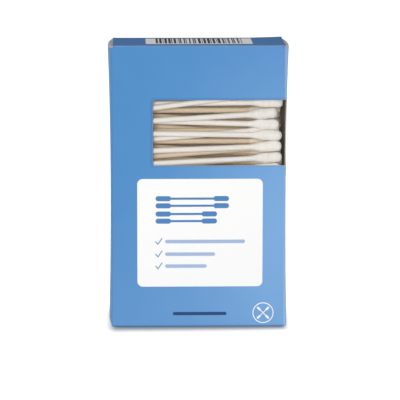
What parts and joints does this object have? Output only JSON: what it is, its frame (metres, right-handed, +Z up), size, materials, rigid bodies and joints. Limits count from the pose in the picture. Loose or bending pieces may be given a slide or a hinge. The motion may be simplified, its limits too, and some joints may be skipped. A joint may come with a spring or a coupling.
{
  "type": "cotton swab box",
  "caption": "Upright folded card box with a hinged tuck lid and a film window in its front, filled with layers of double-ended cotton swabs on paper sticks.",
  "frame": {"origin": "middle of the base, on the surface the box stands on", "axes": "+Z up, +Y from the front panel with the window towards the back, +X towards the side the window runs round to, which is the right seen from the front"},
  "size_m": [0.078, 0.0358, 0.1262],
  "materials": {
    "printed_board": "printed white cartonboard, satin varnish",
    "clear_film": "clear",
    "paper_stick": "rolled white paper, matt",
    "cotton": "wound cotton, matt"
  },
  "bodies": {
    "carton": {"carton_body": "printed_board", "window_film": "clear_film", "swab_sticks_layer_1": "paper_stick", "left_cotton_tips_layer_1": "cotton", "right_cotton_tips_layer_1": "cotton", "swab_sticks_layer_2": "paper_stick", "left_cotton_tips_layer_2": "cotton", "right_cotton_tips_layer_2": "cotton", "swab_sticks_layer_3": "paper_stick", "left_cotton_tips_layer_3": "cotton", "right_cotton_tips_layer_3": "cotton", "swab_sticks_layer_4": "paper_stick", "left_cotton_tips_layer_4": "cotton", "right_cotton_tips_layer_4": "cotton", "swab_sticks_layer_5": "paper_stick", "left_cotton_tips_layer_5": "cotton", "right_cotton_tips_layer_5": "cotton", "swab_sticks_layer_6": "paper_stick", "left_cotton_tips_layer_6": "cotton", "right_cotton_tips_layer_6": "cotton", "swab_sticks_layer_7": "paper_stick", "left_cotton_tips_layer_7": "cotton", "right_cotton_tips_layer_7": "cotton", "swab_sticks_layer_8": "paper_stick", "left_cotton_tips_layer_8": "cotton", "right_cotton_tips_layer_8": "cotton"},
    "lid": {"lid": "printed_board"}
  },
  "joints": [
    {"name": "lid_hinge", "type": "hinge", "parent": "carton", "child": "lid", "pos_m": [0, -0.01795, 0.1262], "axis": [1, 0, 0], "range_deg": [0, 120]}
  ]
}
